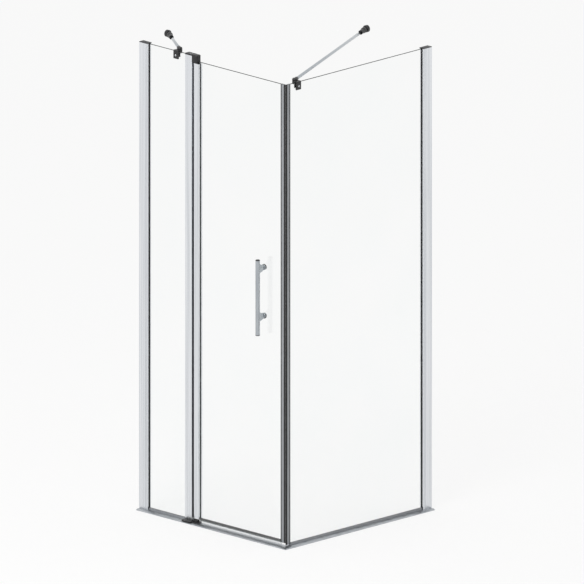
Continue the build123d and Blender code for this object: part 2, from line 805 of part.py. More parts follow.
def make_fixed_side():
    """Everything that stays still: panels, post, hinge brackets, seals and threshold."""
    inline_start = post_end - stile_glass_depth
    pane, bed = make_wall_side(FRONT, "left", inline_top, inline_start, bed_seal_start)
    add("inline_panel_glass", pane)
    add("inline_panel_bed_seal", bed)
    edge_start = seal_width - seal_glass_depth
    pane, bed = make_wall_side(SIDE, "right", side_top, edge_start, seal_width + seal_end_gap)
    add("side_panel_glass", pane)
    add("side_panel_bed_seal", bed)
    add("side_magnetic_seal", magnet_seal(SIDE, fixed_glass_bottom, side_top))
    add("side_magnet_strip", magnet_block(SIDE, 0, fixed_glass_bottom, side_top))
    add("hinge_post", hinge_post())
    add("post_glazing_gaskets", *gasket_pair(FRONT, inline_start, post_end, fixed_glass_bottom, inline_top))
    add("hinge_gap_seal", gap_seal())
    add("top_hinge_bracket", top_bracket())
    add("bottom_hinge_bracket", bottom_bracket())
    add("top_bracket_screws", *bracket_screws(bracket_top - running_gap, -1))
    add("bottom_bracket_screws", *bracket_screws(sill_height + running_gap, 1))
    pin_top = block_bottom + pin_into_bracket
    add("top_pivot_pin", rod(FRONT, pivot_s, pivot_n, pivot_radius, stile_top_end - pin_into_door, pin_top))
    pin_end = foot_top + pin_into_door
    add("bottom_pivot_pin", rod(FRONT, pivot_s, pivot_n, pivot_radius, pivot_hole_bottom, pin_end))
    washer = rod(FRONT, pivot_s, pivot_n, bush_flange_radius, foot_top, foot_top + washer_thick)
    washer -= rod(FRONT, pivot_s, pivot_n, pivot_radius + running_gap, 0, foot_top + washer_thick + past)
    add("pivot_thrust_washer", washer)
    add("threshold_front", threshold(FRONT))
    add("threshold_side", threshold(SIDE))
    add("threshold_corner_key", corner_key())


def make_door():
    """Everything that swings: stile, bushes, glass, seals and handle."""
    glass_edge = stile_start + stile_glass_depth
    add("door_stile", door_stile())
    add("stile_bottom_plug", stile_plug(stile_bottom_end, stile_bottom))
    add("stile_top_plug", stile_plug(stile_top, stile_top_end))
    add("bottom_pivot_bush", pivot_bush(stile_bottom_end, stile_bottom_end + bush_length))
    add("top_pivot_bush", pivot_bush(stile_top_end, stile_top_end - bush_length))
    add("door_glazing_gaskets", *gasket_pair(FRONT, stile_start, glass_edge, stile_bottom, stile_top))
    edge_start = seal_width - seal_glass_depth
    pane = slab(FRONT, edge_start, glass_edge, 0, glass_thick, door_glass_bottom, door_glass_top)
    for z in handle_fixings:
        start = point(FRONT, handle_s, -past, z)
        pane -= rod_between(start, point(FRONT, handle_s, glass_thick + past, z), handle_hole_radius)
    add("door_glass", pane)
    add("door_magnetic_seal", magnet_seal(FRONT, door_glass_bottom, door_glass_top))
    add("door_magnet_strip", magnet_block(FRONT, 0, door_glass_bottom, door_glass_top))
    add("door_drip_seal", drip_seal(seal_width + seal_end_gap, stile_start - seal_end_gap))
    add("handle_bar", handle_bar())
    top = handle_bottom + handle_length
    add("handle_end_caps", handle_cap(handle_bottom, top), handle_cap(top, handle_bottom))
    add("handle_brackets", *[handle_bracket(z) for z in handle_fixings])
    add("handle_washers", *[washer for z in handle_fixings for washer in handle_washers(z)])
    add("handle_screws", *[handle_screw(z) for z in handle_fixings])


make_fixed_side()
make_door()
stabiliser_bar(FRONT, "short", short_bar_s, inline_top, short_bar_wall_n)
stabiliser_bar(SIDE, "long", long_bar_s, side_top, long_bar_wall_n)

os.makedirs("parts", exist_ok=True)
for name, shape in parts.items():
    export_step(shape, f"parts/{name}.step")
print(f"{len(parts)} sub-parts written")
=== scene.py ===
# %% [markdown]
# This lesson dresses a corner shower enclosure with a hinged glass door.
# Its shapes come from a CAD model, which is loaded as a fixed frame and is never moved.
# They could all be modelled again here, but a piece that is right already only needs a finish.
# So the frame gives every place and size, and new pieces are made only where a real one has
# soft edges, turned curves or seams that the plain solid lacks.

# %% Load the frame
import json
import math

import bmesh
import bpy
import numpy as np
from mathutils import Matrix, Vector

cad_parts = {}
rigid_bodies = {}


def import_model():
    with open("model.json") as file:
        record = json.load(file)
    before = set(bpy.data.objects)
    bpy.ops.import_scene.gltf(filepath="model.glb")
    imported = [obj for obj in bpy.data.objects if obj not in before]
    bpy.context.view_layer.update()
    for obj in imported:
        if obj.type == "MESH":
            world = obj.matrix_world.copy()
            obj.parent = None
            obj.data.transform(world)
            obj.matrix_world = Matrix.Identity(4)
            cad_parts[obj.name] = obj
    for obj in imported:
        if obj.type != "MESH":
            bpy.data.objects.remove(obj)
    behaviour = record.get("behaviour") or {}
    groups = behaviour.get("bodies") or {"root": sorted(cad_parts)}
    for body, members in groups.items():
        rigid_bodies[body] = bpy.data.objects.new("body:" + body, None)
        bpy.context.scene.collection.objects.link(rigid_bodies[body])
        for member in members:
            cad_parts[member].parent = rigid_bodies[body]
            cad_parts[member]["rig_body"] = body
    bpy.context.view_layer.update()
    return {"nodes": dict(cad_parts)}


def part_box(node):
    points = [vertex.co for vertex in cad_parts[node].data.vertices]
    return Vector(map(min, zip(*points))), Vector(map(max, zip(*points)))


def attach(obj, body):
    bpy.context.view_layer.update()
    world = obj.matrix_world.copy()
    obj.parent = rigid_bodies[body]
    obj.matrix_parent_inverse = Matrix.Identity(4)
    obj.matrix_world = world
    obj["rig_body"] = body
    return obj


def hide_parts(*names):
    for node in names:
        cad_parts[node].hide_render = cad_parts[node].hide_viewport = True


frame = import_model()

MM = 0.001
nodes = frame["nodes"]

# %% [markdown]
# The two glass walls meet at an outer corner, and everything is measured from there.
# The front run goes along -X from it and its inside is towards +Y.
# The side run goes along +Y and its inside is towards -X.
# The corner could be typed in, but reading it from the glass keeps it right if the CAD changes.

# %% The outer corner of the glass
door_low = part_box("door_glass")[0]
side_low, side_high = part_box("side_panel_glass")
corner = Vector((side_high.x, door_low.y, 0))
glass_thick = side_high.x - side_low.x
print("corner", [round(v, 4) for v in corner], "glass", round(glass_thick / MM, 2), "mm")

# %% [markdown]
# The drawing is in parallel projection, seen at 45 degrees from a little above.
# A long lens from far away would come close, but an orthographic camera is exact.
# One known point, the foot of the outer corner, is put on its pixel, which fixes the framing.

# %% The camera
PHOTO_SIZE = 584
PHOTO_WIDTH = 2.4068
AZIMUTH = 45.0
ELEVATION = 15.54
CORNER_PIXEL = (285.5, 547.7)
CAMERA_DISTANCE = 6.0

turn = math.radians(AZIMUTH)
rise = math.radians(ELEVATION)
back = Vector((math.sin(turn) * math.cos(rise), -math.cos(turn) * math.cos(rise), math.sin(rise)))
rotation = (-back).to_track_quat("-Z", "Y")
right = rotation @ Vector((1, 0, 0))
upward = rotation @ Vector((0, 1, 0))
pixel = PHOTO_WIDTH / PHOTO_SIZE
to_right = (PHOTO_SIZE / 2 - CORNER_PIXEL[0]) * pixel
to_top = (CORNER_PIXEL[1] - PHOTO_SIZE / 2) * pixel

lens = bpy.data.cameras.new("camera")
lens.type = "ORTHO"
lens.ortho_scale = PHOTO_WIDTH
camera = bpy.data.objects.new("camera", lens)
camera.rotation_mode = "QUATERNION"
camera.rotation_quaternion = rotation
camera.location = corner + right * to_right + upward * to_top + back * CAMERA_DISTANCE
bpy.context.scene.collection.objects.link(camera)
bpy.context.scene.camera = camera
print("one pixel is", round(pixel / MM, 3), "mm")

# %% [markdown]
# Every finish is a small tree of shader nodes, and colours are written as on a paint card.
# Blender works in linear light, so one function turns an sRGB hex colour into linear values.
# One more adds a node with its settings, its own values and its incoming links.

# %% Colours and nodes
def linear(code):
    """Linear colour of an sRGB hex code: a channel c up to 0.04045 becomes c / 12.92, and one
    above it becomes ((c + 0.055) / 1.055) to the power 2.4."""
    channels = np.array([int(code[k : k + 2], 16) for k in (1, 3, 5)]) / 255
    bright = ((channels + 0.055) / 1.055) ** 2.4
    values = np.where(channels <= 0.04045, channels / 12.92, bright)
    return (*values.tolist(), 1.0)


def add_node(tree, kind, settings=None, values=None, links=None):
    """Adds a node: settings are its properties, values its sockets, links its incoming wires."""
    node = tree.nodes.new(kind)
    for key, value in (settings or {}).items():
        setattr(node, key, value)
    for key, value in (values or {}).items():
        node.inputs[key].default_value = value
    for key, socket in (links or {}).items():
        tree.links.new(socket, node.inputs[key])
    return node


print("mid grey", [round(v, 3) for v in linear("#808080")[:3]])

# %% [markdown]
# Real surfaces are never one flat colour: die lines, powder grain and mould texture shift the
# shade, the gloss and the height a little, and all three shift together.
# Each could be a texture image, but a noise in object space has no seams and any size.
# So one noise, stretched to the real grain in millimetres, drives all three.

# %% The common tree of a finish
NOISE_LOW = 0.32
NOISE_HIGH = 0.68


def finish(name, shades, grain, roughness, relief, **constants):
    """A noise of the given grain in mm moves the colour between two shades, the roughness
    between two values and the surface by relief mm. Constants are the shader's own values."""
    material = bpy.data.materials.new(name)
    material.use_nodes = True
    tree = material.node_tree
    tree.nodes.clear()
    place = add_node(tree, "ShaderNodeTexCoord")
    stretch = [1 / (size * MM) for size in grain]
    mapping = add_node(
        tree, "ShaderNodeMapping", values={"Scale": stretch}, links={"Vector": place.outputs["Object"]}
    )
    noise = add_node(
        tree,
        "ShaderNodeTexNoise",
        values={"Scale": 1.0, "Detail": 3.0},
        links={"Vector": mapping.outputs["Vector"]},
    )
    shade = add_node(tree, "ShaderNodeValToRGB", links={"Fac": noise.outputs["Fac"]})
    for element, position, code in zip(shade.color_ramp.elements, (NOISE_LOW, NOISE_HIGH), shades):
        element.position = position
        element.color = linear(code)
    gloss = add_node(
        tree,
        "ShaderNodeMapRange",
        values={
            "From Min": NOISE_LOW,
            "From Max": NOISE_HIGH,
            "To Min": roughness[0],
            "To Max": roughness[1],
        },
        links={"Value": noise.outputs["Fac"]},
    )
    bump = add_node(
        tree, "ShaderNodeBump", values={"Distance": relief * MM}, links={"Height": noise.outputs["Fac"]}
    )
    shader = add_node(
        tree,
        "ShaderNodeBsdfPrincipled",
        values=constants,
        links={
            "Base Color": shade.outputs["Color"],
            "Roughness": gloss.outputs["Result"],
            "Normal": bump.outputs["Normal"],
        },
    )
    output = add_node(tree, "ShaderNodeOutputMaterial", links={"Surface": shader.outputs["BSDF"]})
    return material, output


print("the noise runs from", NOISE_LOW, "to", NOISE_HIGH)

# %% [markdown]
# The profiles are aluminium, extruded through a die and brightly anodised.
# The die leaves faint lines along the length, and the anodic film blurs reflections a little.
# The grain is therefore short across and long upwards. Real lines are 0.1 mm apart, which no
# picture of the whole unit can show, so they are drawn 6 mm apart and very weak.

# %% Bright anodised extruded aluminium
bright_aluminium, _ = finish(
    "bright_anodised_extruded_aluminium",
    ("#D0D3D7", "#E6E8EB"),
    (6, 6, 900),
    (0.24, 0.34),
    0.01,
    Metallic=1.0,
)
print(bright_aluminium.name)

# %% [markdown]
# The threshold strips are the same metal with a satin etch, laid flat, so the lines run
# level. The two strips cross at the corner, so the grain is the same both ways.

# %% Satin anodised extruded aluminium
satin_aluminium, _ = finish(
    "satin_anodised_extruded_aluminium",
    ("#A7ABAF", "#BFC2C6"),
    (40, 40, 6),
    (0.34, 0.46),
    0.01,
    Metallic=1.0,
)
print(satin_aluminium.name)

# %% [markdown]
# Hinge block, foot, clamps and knuckles are zinc castings with a black powder coat.
# The powder melts into a fine orange peel about 1 mm across, which softens the highlights.

# %% Black powder-coated zinc
black_fitting, _ = finish(
    "black_powder_coated_zinc",
    ("#0E0E10", "#1A1A1D"),
    (2.5, 2.5, 2.5),
    (0.34, 0.48),
    0.04,
)
print(black_fitting.name)

# %% [markdown]
# Caps and plugs are moulded in black ABS with a fine spark-eroded texture.

# %% Black moulded ABS
black_plastic, _ = finish(
    "black_moulded_abs",
    ("#121214", "#1D1D20"),
    (3, 3, 3),
    (0.42, 0.55),
    0.02,
    IOR=1.54,
)
print(black_plastic.name)

# %% [markdown]
# The gaskets are extruded EPDM rubber: dull black, a little grey where the die dragged.

# %% Black extruded EPDM rubber
black_gasket, _ = finish(
    "black_extruded_epdm",
    ("#0A0A0B", "#161617"),
    (4, 4, 200),
    (0.62, 0.78),
    0.02,
    IOR=1.5,
)
print(black_gasket.name)

# %% [markdown]
# The corner seals and the drip seal are soft extruded PVC, grey and half clear.
# Light goes in and scatters, so part of the shader transmits with a rough surface.

# %% Translucent grey extruded PVC
translucent_seal, _ = finish(
    "translucent_grey_extruded_pvc",
    ("#96999D", "#ABAEB2"),
    (5, 5, 300),
    (0.3, 0.42),
    0.02,
    IOR=1.53,
    **{"Transmission Weight": 0.25},
)
print(translucent_seal.name)

# %% [markdown]
# The magnetic strips are ferrite powder bound in rubber, nearly black and dull.

# %% Ferrite-filled rubber
magnet_rubber, _ = finish(
    "ferrite_filled_rubber",
    ("#151312", "#211E1C"),
    (3, 3, 60),
    (0.6, 0.75),
    0.02,
)
print(magnet_rubber.name)

# %% [markdown]
# The tubes and the handle are chrome-plated brass, buffed on a wheel.
# Buffing leaves waves of a few millimetres, too weak to see except as a soft shift of gloss,
# so the two shades lie close together.

# %% Polished chrome plate
chrome, _ = finish(
    "polished_chrome_plate",
    ("#A6ABB0", "#B3B8BC"),
    (8, 8, 60),
    (0.07, 0.13),
    0.004,
    Metallic=1.0,
)
print(chrome.name)

# %% [markdown]
# Screws and pins are turned from stainless steel, a little darker and duller than chrome.

# %% Turned stainless steel
stainless, _ = finish(
    "turned_stainless_steel",
    ("#B9BCBF", "#D2D4D6"),
    (2, 2, 2),
    (0.22, 0.34),
    0.01,
    Metallic=1.0,
)
print(stainless.name)

# %% [markdown]
# Pivot bushes and the thrust washer are turned from white nylon, waxy and slightly soft.

# %% Turned white nylon
white_nylon, _ = finish(
    "turned_white_nylon",
    ("#E2E1DC", "#EDECE8"),
    (2, 2, 2),
    (0.4, 0.52),
    0.01,
    IOR=1.53,
)
print(white_nylon.name)

# %% [markdown]
# The pads in the clamps and the washers of the handle are clear polycarbonate.

# %% Clear moulded polycarbonate
clear_washer, _ = finish(
    "clear_moulded_polycarbonate",
    ("#E4E9EA", "#F4F7F7"),
    (3, 3, 3),
    (0.1, 0.2),
    0.005,
    IOR=1.58,
    **{"Transmission Weight": 0.85},
)
print(clear_washer.name)

# %% [markdown]
# The drip seal under the door is the same soft PVC without the grey, so the sill shows
# through it. Only its thickness and its folds draw a faint line.

# %% Clear extruded PVC
clear_pvc, _ = finish(
    "clear_extruded_pvc",
    ("#E9ECEE", "#F6F8F8"),
    (5, 5, 300),
    (0.12, 0.2),
    0.01,
    IOR=1.53,
    **{"Transmission Weight": 0.9},
)
print(clear_pvc.name)

# %% [markdown]
# The lips and the noses of the corner seals are a second, softer PVC, extruded on to the grey
# one in the same die. It is black, and it hides the magnets.

# %% Black soft PVC
black_soft_pvc, _ = finish(
    "black_soft_extruded_pvc",
    ("#0C0C0E", "#161618"),
    (4, 4, 300),
    (0.68, 0.8),
    0.02,
    IOR=1.53,
)
print(black_soft_pvc.name)

# %% [markdown]
# The panes are toughened float glass, 6 mm thick. Iron in it gives a green tint that only
# shows where light travels far inside, so the faces look clear and the edges dark.
# A tinted surface would colour the faces too. A weak absorption in the volume does what
# glass does: it depends on how far the light goes.

# %% Toughened float glass
GLASS_TINT = "#7FB8A4"
GLASS_ABSORPTION = 1.6

float_glass, glass_output = finish(
    "toughened_float_glass",
    ("#FDFEFE", "#FFFFFF"),
    (400, 400, 400),
    (0.0, 0.003),
    0.002,
    IOR=1.52,
    **{"Transmission Weight": 1.0},
)
glass_body = add_node(
    float_glass.node_tree,
    "ShaderNodeVolumeAbsorption",
    values={"Color": linear(GLASS_TINT), "Density": GLASS_ABSORPTION},
)
float_glass.node_tree.links.new(glass_body.outputs["Volume"], glass_output.inputs["Volume"])
print(float_glass.name)

# %% [markdown]
# Along the ground edges the light has come a long way through the pane, so they look dark green, nearly
# black. A picture this small can't trace that path cleanly, so the edge faces get painted shade
# instead: a deep green, nearly black, that still transmits a little.

# %% Glass edge, ground and polished, darkened by painted shade
# The near-black green of the edge faces is painted shade, not the glass's own colour.
glass_edge, _ = finish(
    "glass_edge_painted_dark_shade",
    ("#0D1513", "#18241F"),
    (30, 30, 30),
    (0.28, 0.4),
    0.005,
    IOR=1.52,
    **{"Transmission Weight": 0.1},
)
print(glass_edge.name)

# %% [markdown]
# The record says which material slot each node takes, in plain groups.
# A long table of nodes could do it, but most names say what the piece is made of, so a
# few words in the names choose the finish, and the first match counts.

# %% Finishes of the nodes that stay
FINISH_BY_WORD = [
    ("clamp_pads", clear_washer),
    ("washers", clear_washer),
    ("thrust_washer", white_nylon),
    ("bush", white_nylon),
    ("end_caps", black_plastic),
    ("plug", black_plastic),
    ("profile_cap", black_plastic),
    ("corner_key", black_plastic),
    ("gasket", black_gasket),
    ("gap_seal", black_gasket),
    ("magnet_strip", magnet_rubber),
    ("drip_seal", clear_pvc),
    ("seal", translucent_seal),
    ("handle_screws", chrome),
    ("handle", chrome),
    ("bar_tube", chrome),
    ("screw", stainless),
    ("pivot_pin", stainless),
    ("threshold", satin_aluminium),
    ("bracket", black_fitting),
    ("clamp", black_fitting),
    ("knuckle", black_fitting),
    ("wall_socket", black_fitting),
    ("wall_flange", black_fitting),
    ("glass", float_glass),
    ("profile", bright_aluminium),
    ("post", bright_aluminium),
    ("stile", bright_aluminium),
]


def finish_of(node):
    """The finish of the first word that a node's name holds."""
    return next(material for word, material in FINISH_BY_WORD if word in node)


for node, thing in nodes.items():
    thing.data.materials.clear()
    thing.data.materials.append(finish_of(node))
print("finishes in use", len({finish_of(node).name for node in nodes}))

# %% [markdown]
# New pieces are grids of points, computed as whole arrays. Point (i, j) of a grid joins its
# neighbours (i + 1, j), (i + 1, j + 1) and (i, j + 1), and a closed direction wraps round.
# A piece is one mesh of one or more such shells. It rides on the same body as the node that
# it stands for, and that node is hidden.

# %% Helpers that turn arrays into pieces
SHARP_ANGLE = math.radians(32)
MERGE_DISTANCE = 0.002 * MM


def grid_faces(rows, columns, wrap_rows, wrap_columns):
    """Four-sided faces of a grid of points, wrapped round in a closed direction."""
    row = np.arange(rows if wrap_rows else rows - 1)[:, None]
    column = np.arange(columns if wrap_columns else columns - 1)[None, :]
    next_row = (row + 1) % rows
    next_column = (column + 1) % columns
    corners = [
        row * columns + column,
        next_row * columns + column,
        next_row * columns + next_column,
        row * columns + next_column,
    ]
    return np.stack(np.broadcast_arrays(*corners), axis=-1).reshape(-1, 4).tolist()


def make_piece(name, shells, stands_for, finishes=None, fill_along=None):
    """Joins shells of points, faces and finish numbers in one mesh, cleans it and sets it
    on its body. With fill_along, the two open ends across that direction are filled."""
    points = np.concatenate([shell[0] for shell in shells])
    starts = np.cumsum([0] + [len(shell[0]) for shell in shells])
    faces = [[start + k for k in face] for start, shell in zip(starts, shells) for face in shell[1]]
    numbers = [np.full(len(shell[1]), shell[2] if len(shell) > 2 else 0) for shell in shells]
    mesh = bpy.data.meshes.new(name)
    mesh.from_pydata(points.tolist(), [], faces)
    mesh.polygons.foreach_set("material_index", np.concatenate(numbers).astype(np.int32))
    edit = bmesh.new()
    edit.from_mesh(mesh)
    bmesh.ops.remove_doubles(edit, verts=edit.verts, dist=MERGE_DISTANCE)
    bare = [edge for edge in edit.edges if not edge.link_faces]
    bmesh.ops.delete(edit, geom=bare, context="EDGES")
    if fill_along is not None:
        fill_ends(edit, Vector(fill_along))
    bmesh.ops.recalc_face_normals(edit, faces=edit.faces)
    edit.to_mesh(mesh)
    edit.free()
    mesh.shade_smooth()
    mesh.set_sharp_from_angle(angle=SHARP_ANGLE)
    for material in finishes or [finish_of(stands_for)]:
        mesh.materials.append(material)
    piece = bpy.data.objects.new(name, mesh)
    bpy.context.scene.collection.objects.link(piece)
    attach(piece, nodes[stands_for]["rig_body"])
    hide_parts(stands_for)
    print(name, len(mesh.vertices), "points")
    return piece


def fill_ends(edit, direction):
    """Fills the open rims at the two ends of a plate, around its holes."""
    rims = [edge for edge in edit.edges if edge.is_boundary]
    places = [edge.verts[0].co.dot(direction) for edge in rims]
    middle = (min(places) + max(places)) / 2
    for low_end in (True, False):
        rim = [edge for edge, place in zip(rims, places) if (place < middle) == low_end]
        bmesh.ops.triangle_fill(edit, use_beauty=True, edges=rim)


print("points within", MERGE_DISTANCE / MM, "mm of each other are joined")

# %% [markdown]
# Nearly every real edge is a little round. A corner P of an outline is left at A, a radius
# before it, and met again at B, a radius after it.

# %% Helpers for outlines, turned shapes and carried profiles
def soft_outline(corners, radii, steps=5):
    """Rounds the corners of a closed outline with arcs of a circle. The curve at corner P is
    ((1 - t)^2 A + 2 w t (1 - t) P + t^2 B) / ((1 - t)^2 + 2 w t (1 - t) + t^2) for t from 0 to 1,
    and with w the sine of half the corner's angle it is a true arc."""
    corners = np.array(corners, float)
    before = np.roll(corners, 1, axis=0) - corners
    after = np.roll(corners, -1, axis=0) - corners
    before /= np.linalg.norm(before, axis=1, keepdims=True)
    after /= np.linalg.norm(after, axis=1, keepdims=True)
    radii = np.broadcast_to(np.array(radii, float), len(corners))[:, None]
    weight = np.sqrt((1 - np.sum(before * after, axis=1)) / 2)[:, None, None]
    t = np.linspace(0, 1, steps)[None, :, None]
    start, middle, end = (1 - t) ** 2, 2 * weight * t * (1 - t), t**2
    ends = start * (corners + before * radii)[:, None] + end * (corners + after * radii)[:, None]
    return ((ends + middle * corners[:, None]) / (start + middle + end)).reshape(-1, 2)


def turned(profile, base, axis, around=48):
    """Turns a closed profile of (radius r, height h): each point goes round to
    base + h axis + r (cos a side + sin a other), for angles a round the whole circle."""
    axis = Vector(axis).normalized()
    side = axis.orthogonal().normalized()
    other = axis.cross(side)
    angle = np.arange(around) * (2 * math.pi / around)
    ring = np.cos(angle)[:, None] * np.array(side) + np.sin(angle)[:, None] * np.array(other)
    radius = profile[:, 0][:, None, None]
    height = profile[:, 1][:, None, None]
    points = np.array(base) + height * np.array(axis) + radius * ring[None]
    return points.reshape(-1, 3), grid_faces(len(profile), around, True, True)


def drawn_in(outline, distance):
    """Moves each point of an outline inwards along the mean m of its edges' normals n, by
    distance / (m . n), so that each edge moves by the distance itself."""
    following = np.roll(outline, -1, axis=0)
    area = np.sum(outline[:, 0] * following[:, 1] - outline[:, 1] * following[:, 0])
    ahead = following - outline
    normal = np.stack([-ahead[:, 1], ahead[:, 0]], axis=1) * np.sign(area)
    normal /= np.linalg.norm(normal, axis=1, keepdims=True)
    mean = normal + np.roll(normal, 1, axis=0)
    mean /= np.linalg.norm(mean, axis=1, keepdims=True)
    share = np.maximum(np.sum(mean * normal, axis=1, keepdims=True), 0.5)
    return outline + mean * distance / share


def end_rings(radius, steps):
    """Depth and inset along a quarter circle: radius (1 - cos a) and radius (1 - sin a).
    Two steps alone make a flat slope at 45 degrees."""
    angle = np.linspace(0, math.pi / 2, steps if radius else 1)
    return np.stack([radius * (1 - np.cos(angle)), radius * (1 - np.sin(angle))], axis=1)


def carried(outline, start, across, along, travel, ends, hole=False, steps=5):
    """Carries a closed outline of (a, b) along a straight path: a point goes to
    start + a across + b along + depth travel / |travel|. The ends are rounded by their radii,
    and a hole's rim opens outwards where the outline of a solid draws in."""
    travel = np.array(travel, float)
    length = np.linalg.norm(travel)
    last = end_rings(ends[1], steps)[::-1]
    rings = np.concatenate([end_rings(ends[0], steps), [length, 0] + last * [-1, 1]])
    sense = -1 if hole else 1
    plane = np.stack([drawn_in(outline, sense * inset) for inset in rings[:, 1]])
    points = (
        np.array(start, float)
        + plane[:, :, :1] * np.array(across, float)
        + plane[:, :, 1:] * np.array(along, float)
        + rings[:, 0][:, None, None] * travel / length
    )
    return points.reshape(-1, 3), grid_faces(len(rings), len(outline), False, True)


def closed(shell, count, number=0):
    """Closes both ends of a carried outline of count points with one flat face each."""
    points, faces = shell
    total = len(points)
    ends = [list(range(count)), list(range(total - count, total))]
    return points, faces + ends, number


print("sharp above", round(math.degrees(SHARP_ANGLE)), "degrees")

# %% [markdown]
# Extruded profiles and castings have the right shape in the CAD model, but their edges are
# razor sharp, and such an edge catches no light. The die and the mould leave a small radius.
# A copy of the node's own mesh is merged, its flat faces are joined, and a Bevel modifier
# rounds each edge that is sharper than the limit. The two glazing profiles are not in the list:
# the bevel leaves stray edges on them, and the CAD model rounds their outer corners already.

# %% Soft edges for extrusions and castings
COPY_MERGE = 0.01 * MM
FLAT_ANGLE = math.radians(1)
SOFT_EDGES = [
    ("left_wall_channel", "wall_profile_left", 0.6, "bright_aluminium"),
    ("right_wall_channel", "wall_profile_right", 0.6, "bright_aluminium"),
    ("post_extrusion", "hinge_post", 0.6, "bright_aluminium"),
    ("stile_extrusion", "door_stile", 0.6, "bright_aluminium"),
    ("front_sill", "threshold_front", 0.7, "satin_aluminium"),
    ("side_sill", "threshold_side", 0.7, "satin_aluminium"),
    ("hinge_foot", "bottom_hinge_bracket", 1.0, "black_fitting"),
    ("short_clamp_block", "short_bar_clamp", 1.0, "black_fitting"),
    ("long_clamp_block", "long_bar_clamp", 1.0, "black_fitting"),
    ("left_moulded_cap", "wall_profile_cap_left", 0.8, "black_plastic"),
    ("right_moulded_cap", "wall_profile_cap_right", 0.8, "black_plastic"),
]


def softened(name, node, radius, slot):
    """A copy of a node's mesh whose sharp edges a Bevel modifier rounds by the radius in mm."""
    mesh = nodes[node].data.copy()
    mesh.name = name
    edit = bmesh.new()
    edit.from_mesh(mesh)
    bmesh.ops.remove_doubles(edit, verts=edit.verts, dist=COPY_MERGE)
    bmesh.ops.dissolve_limit(edit, angle_limit=FLAT_ANGLE, verts=edit.verts, edges=edit.edges)
    bmesh.ops.recalc_face_normals(edit, faces=edit.faces)
    edit.to_mesh(mesh)
    edit.free()
    mesh.shade_smooth()
    piece = bpy.data.objects.new(name, mesh)
    bpy.context.scene.collection.objects.link(piece)
    bevel = piece.modifiers.new("soft_edges", "BEVEL")
    bevel.width = radius * MM
    bevel.segments = 3
    bevel.limit_method = "ANGLE"
    bevel.angle_limit = SHARP_ANGLE
    bevel.harden_normals = True
    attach(piece, nodes[node]["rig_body"])
    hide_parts(node)
    print(name, len(mesh.vertices), "points before the bevel")
    return piece


for row in SOFT_EDGES:
    softened(*row)

# %% [markdown]
# The panes are cut, the door's two handle holes are drilled, and then all edges are ground to
# a narrow slope, the arris, and polished. A plain box has razor edges that glass never has.
# The outline and the holes are carried through the thickness, and the two faces are filled
# round the holes, so that faces and edges can have finishes of their own.

# %% The three panes
ARRIS = 1.5 * MM
PANE_CORNER = 2.0 * MM
HOLE_RADIUS = 6.0 * MM
HOLE_STEPS = 32
X_AXIS = (1, 0, 0)
Y_AXIS = (0, 1, 0)
Z_AXIS = (0, 0, 1)


def circle(centre, radius, steps=HOLE_STEPS):
    """Outline of a circle: centre + radius (cos a, sin a)."""
    angle = np.arange(steps) * (2 * math.pi / steps)
    return np.array(centre) + radius * np.stack([np.cos(angle), np.sin(angle)], axis=1)


def pane(name, node, across, through, holes=()):
    """A pane in the box of its node: its outline spans the width and the height."""
    low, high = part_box(node)
    wide = Vector(across)
    thick = Vector(through)
    left, right_end = low.dot(wide), high.dot(wide)
    corners = [(left, low.z), (right_end, low.z), (right_end, high.z), (left, high.z)]
    start = thick * low.dot(thick)
    travel = thick * (high.dot(thick) - low.dot(thick))
    path = (start, across, Z_AXIS, travel, (ARRIS, ARRIS))
    rims = [carried(soft_outline(corners, PANE_CORNER), *path, steps=2)]
    rims += [carried(circle(centre, HOLE_RADIUS), *path, hole=True, steps=2) for centre in holes]
    shells = [(points, faces, 1) for points, faces in rims]
    # The edge faces take the dark green edge finish, which is painted shade.
    finishes = [float_glass, glass_edge]
    return make_piece(name, shells, node, finishes, fill_along=through)


moon_low, moon_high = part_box("handle_brackets")
MOON_RADIUS = 19 * MM
handle_x = (moon_low.x + moon_high.x) / 2
FIXINGS = [moon_low.z + MOON_RADIUS, moon_high.z - MOON_RADIUS]
pane("inline_pane", "inline_panel_glass", X_AXIS, Y_AXIS)
pane("side_pane", "side_panel_glass", Y_AXIS, X_AXIS)
pane("door_pane", "door_glass", X_AXIS, Y_AXIS, [(handle_x, z) for z in FIXINGS])

# %% [markdown]
# Two corner seals meet on a slope where the door closes, each with a magnet inside.
# A real one is extruded in two materials: a grey channel that grips the glass, and black
# soft lips and nose. Each is an outline of its own here, carried up the height of the pane.
# A seam far too thin to see keeps them apart, because a point that two shells share would
# leave Blender unsure which side of them is outside.

# %% Corner seals
SEAL_WIDTH = 27 * MM
SEAL_WALL = 1.3 * MM
SEAL_GRIP = 15 * MM
LIP = 5.0 * MM
NOSE = 9.0 * MM
SLOPE_GAP = 0.05 * MM * math.sqrt(2)
SEAL_SOFT = 0.4 * MM
SEAL_END = 0.2 * MM
SEAL_SEAM = 0.02 * MM


